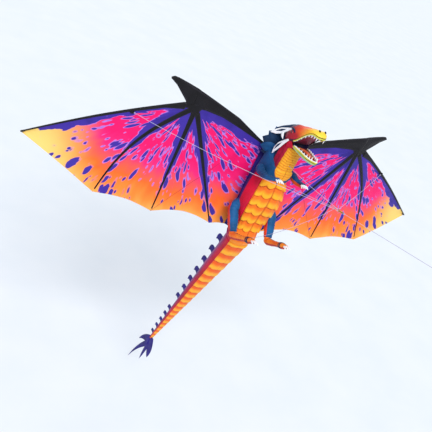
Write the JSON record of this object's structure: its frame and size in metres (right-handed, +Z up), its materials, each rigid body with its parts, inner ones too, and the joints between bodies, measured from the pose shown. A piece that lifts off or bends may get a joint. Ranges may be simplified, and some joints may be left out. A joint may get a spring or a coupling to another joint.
{
  "type": "dragon kite",
  "caption": "Three-dimensional dragon kite: air-filled body, framed bat wings, jointed tail, stuffed limbs, open-jawed head and a bridle to a tow ring.",
  "frame": {"origin": "centre of the tow ring, where the bridle legs meet the flying line", "axes": "+X towards the right wing tip, +Z up the spine from the tail to the head, -Y from the belly towards the flyer"},
  "size_m": [1.9376, 1.3772, 1.769],
  "materials": {
    "sail_print": "printed ripstop nylon, semi-matt",
    "black_dacron": "woven polyester reinforcement, matt",
    "glass_rod": "pultruded fibreglass",
    "carbon_rod": "pultruded carbon rod",
    "vinyl": "moulded vinyl, satin",
    "webbing": "polyester webbing",
    "indigo_cloth": "ripstop nylon, semi-matt",
    "belly_print": "printed ripstop nylon with sewn scale rows",
    "crimson_cloth": "ripstop nylon, semi-matt",
    "teal_cloth": "ripstop nylon, semi-matt",
    "orange_cloth": "printed ripstop nylon",
    "head_print": "printed ripstop nylon",
    "white_cloth": "stuffed white polyester",
    "navy_cloth": "ripstop nylon, semi-matt",
    "steel": "stainless wire",
    "brass": "brass snap swivel",
    "white_line": "braided polyester line"
  },
  "bodies": {
    "root": {"spine_rod": "carbon_rod", "centre_hub": "vinyl", "back_panel": "indigo_cloth", "belly_panel": "belly_print", "flank_left": "crimson_cloth", "flank_right": "crimson_cloth", "yoke": "teal_cloth", "tow_ring": "steel", "snap_hook": "brass", "bridle_left": "white_line", "bridle_right": "white_line", "bridle_neck": "white_line", "bridle_chest": "white_line", "bridle_belly": "white_line"},
    "head": {"neck": "belly_print", "skull": "head_print", "upper_teeth": "white_cloth", "horns": "white_cloth", "mane": "navy_cloth"},
    "jaw": {"lower_jaw": "head_print", "lower_teeth": "white_cloth"},
    "tail_front": {"tail_front": "belly_print", "tail_fins_front": "indigo_cloth"},
    "tail_mid": {"tail_mid": "belly_print", "tail_fins_mid": "indigo_cloth"},
    "tail_rear": {"tail_rear": "belly_print", "tail_fins_rear": "indigo_cloth", "tail_fan": "indigo_cloth"},
    "line": {"swivel_eye": "steel", "flying_line": "white_line"},
    "wing_left": {"sail_left": "sail_print", "inner_sleeve_left": "black_dacron", "outer_sleeve_left": "black_dacron", "wrist_horn_left": "black_dacron", "batten_pockets_left": "black_dacron", "battens_left": "glass_rod", "leading_spars_left": "carbon_rod", "strut_left": "glass_rod", "tip_caps_left": "vinyl", "bridle_tab_left": "webbing"},
    "arm_left": {"arm_left": "teal_cloth", "hand_claws_left": "white_cloth"},
    "thigh_left": {"thigh_left": "teal_cloth"},
    "shin_left": {"shin_left": "orange_cloth", "foot_claws_left": "white_cloth"},
    "wing_right": {"sail_right": "sail_print", "inner_sleeve_right": "black_dacron", "outer_sleeve_right": "black_dacron", "wrist_horn_right": "black_dacron", "batten_pockets_right": "black_dacron", "battens_right": "glass_rod", "leading_spars_right": "carbon_rod", "strut_right": "glass_rod", "tip_caps_right": "vinyl", "bridle_tab_right": "webbing"},
    "arm_right": {"arm_right": "teal_cloth", "hand_claws_right": "white_cloth"},
    "thigh_right": {"thigh_right": "teal_cloth"},
    "shin_right": {"shin_right": "orange_cloth", "foot_claws_right": "white_cloth"}
  },
  "joints": [
    {"name": "wing_fold_left", "type": "hinge", "parent": "root", "child": "wing_left", "pos_m": [-0.044, 0.513, 0], "axis": [0, 0, -1], "range_deg": [-6, 75], "deforming": ["bridle_left"]},
    {"name": "arm_swing_left", "type": "hinge", "parent": "root", "child": "arm_left", "pos_m": [-0.076, 0.428, -0.104], "axis": [1, 0, 0], "range_deg": [-15, 30]},
    {"name": "hip_swing_left", "type": "hinge", "parent": "root", "child": "thigh_left", "pos_m": [-0.093, 0.45, -0.314], "axis": [1, 0, 0], "range_deg": [-15, 20]},
    {"name": "knee_bend_left", "type": "hinge", "parent": "thigh_left", "child": "shin_left", "pos_m": [-0.087, 0.378, -0.402], "axis": [1, 0, 0], "range_deg": [-15, 25]},
    {"name": "wing_fold_right", "type": "hinge", "parent": "root", "child": "wing_right", "pos_m": [0.044, 0.513, 0], "axis": [0, 0, 1], "range_deg": [-6, 75], "deforming": ["bridle_right"]},
    {"name": "arm_swing_right", "type": "hinge", "parent": "root", "child": "arm_right", "pos_m": [0.076, 0.428, -0.104], "axis": [1, 0, 0], "range_deg": [-15, 30]},
    {"name": "hip_swing_right", "type": "hinge", "parent": "root", "child": "thigh_right", "pos_m": [0.093, 0.45, -0.314], "axis": [1, 0, 0], "range_deg": [-15, 20]},
    {"name": "knee_bend_right", "type": "hinge", "parent": "thigh_right", "child": "shin_right", "pos_m": [0.087, 0.378, -0.402], "axis": [1, 0, 0], "range_deg": [-15, 25]},
    {"name": "head_nod", "type": "hinge", "parent": "root", "child": "head", "pos_m": [0, 0.43, -0.096], "axis": [1, 0, 0], "range_deg": [0, 12], "deforming": ["bridle_neck"]},
    {"name": "jaw_open", "type": "hinge", "parent": "head", "child": "jaw", "pos_m": [0, 0.372, 0.044], "axis": [1, 0, 0], "range_deg": [-24, 6]},
    {"name": "tail_swing", "type": "hinge", "parent": "root", "child": "tail_front", "pos_m": [0, 0.455, -0.44], "axis": [0, 0.9497, 0.313], "range_deg": [-15, 15]},
    {"name": "tail_bend", "type": "hinge", "parent": "tail_front", "child": "tail_mid", "pos_m": [0, 0.5612, -0.7622], "axis": [0, 0.9497, 0.313], "range_deg": [-15, 15]},
    {"name": "tail_curl", "type": "hinge", "parent": "tail_mid", "child": "tail_rear", "pos_m": [0, 0.6615, -1.0665], "axis": [0, 0.9497, 0.313], "range_deg": [-15, 15]},
    {"name": "line_spin", "type": "hinge", "parent": "root", "child": "line", "pos_m": [0, 0, 0], "axis": [0, -0.97, 0.243], "continuous": true}
  ]
}
